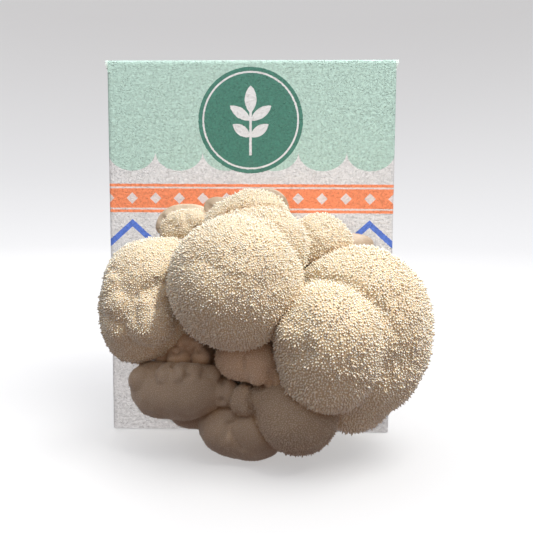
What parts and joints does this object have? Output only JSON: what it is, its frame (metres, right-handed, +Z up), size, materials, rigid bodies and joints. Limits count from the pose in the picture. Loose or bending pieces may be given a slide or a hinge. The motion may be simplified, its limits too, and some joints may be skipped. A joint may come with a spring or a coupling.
{
  "type": "lion's mane mushroom grow kit",
  "caption": "Mushroom grow kit: a folded card carton round a bagged sawdust block, with a clump of furry cream pom-pom mushroom heads grown out through its front window.",
  "frame": {"origin": "middle of the carton's underside, on the surface it stands on", "axes": "+Z up; the carton's front, with the window and the mushroom, faces -Y; +X to the right seen from the front"},
  "size_m": [0.1746, 0.1986, 0.21],
  "materials": {
    "printed_card": "matte",
    "bag_film": "gloss",
    "patch_paper": "matte",
    "sawdust": "matte",
    "base_flesh": "matte",
    "head_flesh": "matte"
  },
  "bodies": {
    "root": {"carton": "printed_card", "grow_bag": "bag_film", "filter_patch": "patch_paper", "substrate_block": "sawdust", "mushroom_base": "base_flesh", "head_upper_front": "head_flesh", "head_upper_ridge": "head_flesh", "head_right_front": "head_flesh", "head_bottom_right": "head_flesh", "head_lower_left": "head_flesh", "head_centre": "head_flesh", "head_bottom": "head_flesh", "head_right_back": "head_flesh", "head_left": "head_flesh", "head_crown": "head_flesh", "head_upper_right": "head_flesh", "head_upper_left": "head_flesh", "head_small_knobs": "head_flesh", "head_lower_back": "head_flesh"}
  },
  "joints": []
}
